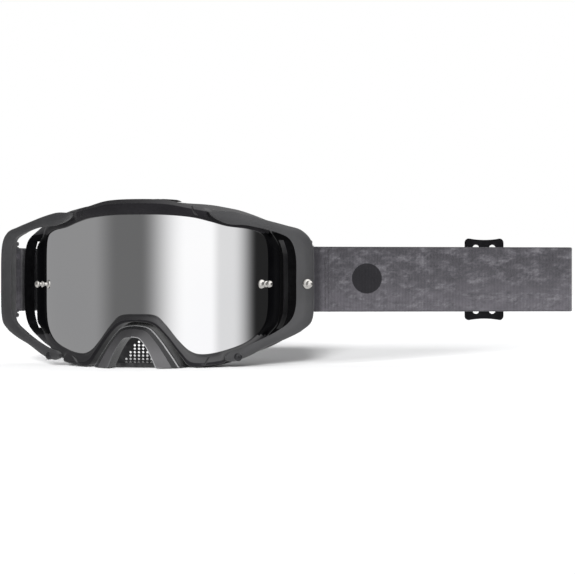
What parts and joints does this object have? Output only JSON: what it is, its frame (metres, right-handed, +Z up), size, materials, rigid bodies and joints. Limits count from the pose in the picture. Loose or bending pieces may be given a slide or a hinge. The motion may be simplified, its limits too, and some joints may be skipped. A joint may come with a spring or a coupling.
{
  "type": "motocross goggles",
  "caption": "Off-road motorcycle goggles: outrigger frame, cylindrical mirrored lens, layered face foam, nose guard and a folded elastic strap with a length slider.",
  "frame": {"origin": "On the centre line, at the middle of the flat underside of the nose vent's rim, where the goggle stands on a shelf.", "axes": "+X to the right of someone facing the goggle (the wearer's left), +Y towards the wearer, +Z up."},
  "size_m": [0.3519, 0.1212, 0.1022],
  "materials": {
    "frame_plastic": "satin-matte moulded polyurethane, near black",
    "outrigger_plastic": "matte graphite moulding",
    "mirror_lens": "silver mirror coating on a curved sheet lens",
    "post_metal": "bright turned posts",
    "guard_plastic": "gloss black moulding",
    "screen_plastic": "matte pierced moulding",
    "foam_dense": "dense open-cell foam",
    "foam_soft": "soft open-cell foam",
    "fleece": "brushed fleece",
    "vent_foam": "coarse filter foam",
    "strap_webbing": "printed elastic webbing",
    "slider_plastic": "black moulded glide"
  },
  "bodies": {
    "root": {"frame": "frame_plastic", "lens": "mirror_lens", "lens_post_left": "post_metal", "lens_post_right": "post_metal", "outrigger_left": "outrigger_plastic", "outrigger_right": "outrigger_plastic", "outrigger_pin_left": "guard_plastic", "outrigger_pin_right": "guard_plastic", "pull_tab_post": "post_metal", "face_foam_base": "foam_dense", "face_foam_mid": "foam_soft", "face_foam_fleece": "fleece", "vent_foam_top": "vent_foam", "vent_foam_bottom_left": "vent_foam", "vent_foam_bottom_right": "vent_foam", "nose_guard": "guard_plastic", "nose_vent_screen": "screen_plastic"},
    "strap_front_1": {"strap_front_1": "strap_webbing"},
    "strap_front_2": {"strap_front_2": "strap_webbing"},
    "strap_front_3": {"strap_front_3": "strap_webbing"},
    "strap_tail": {"strap_tail": "strap_webbing"},
    "strap_rear_1": {"strap_rear_1": "strap_webbing"},
    "strap_rear_2": {"strap_rear_2": "strap_webbing"},
    "strap_rear_3": {"strap_rear_3": "strap_webbing"},
    "strap_rear_4": {"strap_rear_4": "strap_webbing"},
    "slider": {"slider": "slider_plastic"}
  },
  "joints": [
    {"name": "strap_open", "type": "hinge", "parent": "root", "child": "strap_front_1", "pos_m": [0.0955, 0.0448, 0.0528], "axis": [0, 0, 1], "range_deg": [0, 58.3]},
    {"name": "front_2_bend", "type": "hinge", "parent": "strap_front_1", "child": "strap_front_2", "pos_m": [0.13551, 0.05757, 0.0528], "axis": [0, 0, 1], "range_deg": [0, 18.05]},
    {"name": "front_3_bend", "type": "hinge", "parent": "strap_front_2", "child": "strap_front_3", "pos_m": [0.17552, 0.07034, 0.0528], "axis": [0, 0, 1], "range_deg": [0, 22.05]},
    {"name": "fold_open", "type": "hinge", "parent": "strap_front_3", "child": "strap_tail", "pos_m": [0.24791, 0.0968, 0.0528], "axis": [0, 0, 1], "range_deg": [-131.05, 0]},
    {"name": "rear_1_turn", "type": "hinge", "parent": "root", "child": "strap_rear_1", "pos_m": [-0.0955, 0.0448, 0.0528], "axis": [0, 0, 1], "range_deg": [0, 23.48]},
    {"name": "rear_2_bend", "type": "hinge", "parent": "strap_rear_1", "child": "strap_rear_2", "pos_m": [-0.0885, 0.0658, 0.0528], "axis": [0, 0, 1], "range_deg": [0, 85.27]},
    {"name": "rear_3_bend", "type": "hinge", "parent": "strap_rear_2", "child": "strap_rear_3", "pos_m": [-0.00266, 0.07082, 0.0528], "axis": [0, 0, 1], "range_deg": [-46.05, 0]},
    {"name": "rear_4_bend", "type": "hinge", "parent": "strap_rear_3", "child": "strap_rear_4", "pos_m": [0.08318, 0.07584, 0.0528], "axis": [0, 0, 1], "range_deg": [-66.5, 0]},
    {"name": "slider_slide", "type": "slide", "parent": "strap_front_3", "child": "slider", "axis": [0.9527, 0.304, 0], "range_m": [-0.01, 0.034]}
  ],
  "couplings": [
    {"joint": "front_2_bend", "follows": "strap_open", "ratio": 0.30875},
    {"joint": "front_3_bend", "follows": "strap_open", "ratio": 0.37736},
    {"joint": "fold_open", "follows": "strap_open", "ratio": -2.247},
    {"joint": "rear_1_turn", "follows": "strap_open", "ratio": 0.40197},
    {"joint": "rear_2_bend", "follows": "strap_open", "ratio": 1.4617},
    {"joint": "rear_3_bend", "follows": "strap_open", "ratio": -0.78902},
    {"joint": "rear_4_bend", "follows": "strap_open", "ratio": -1.1397}
  ]
}
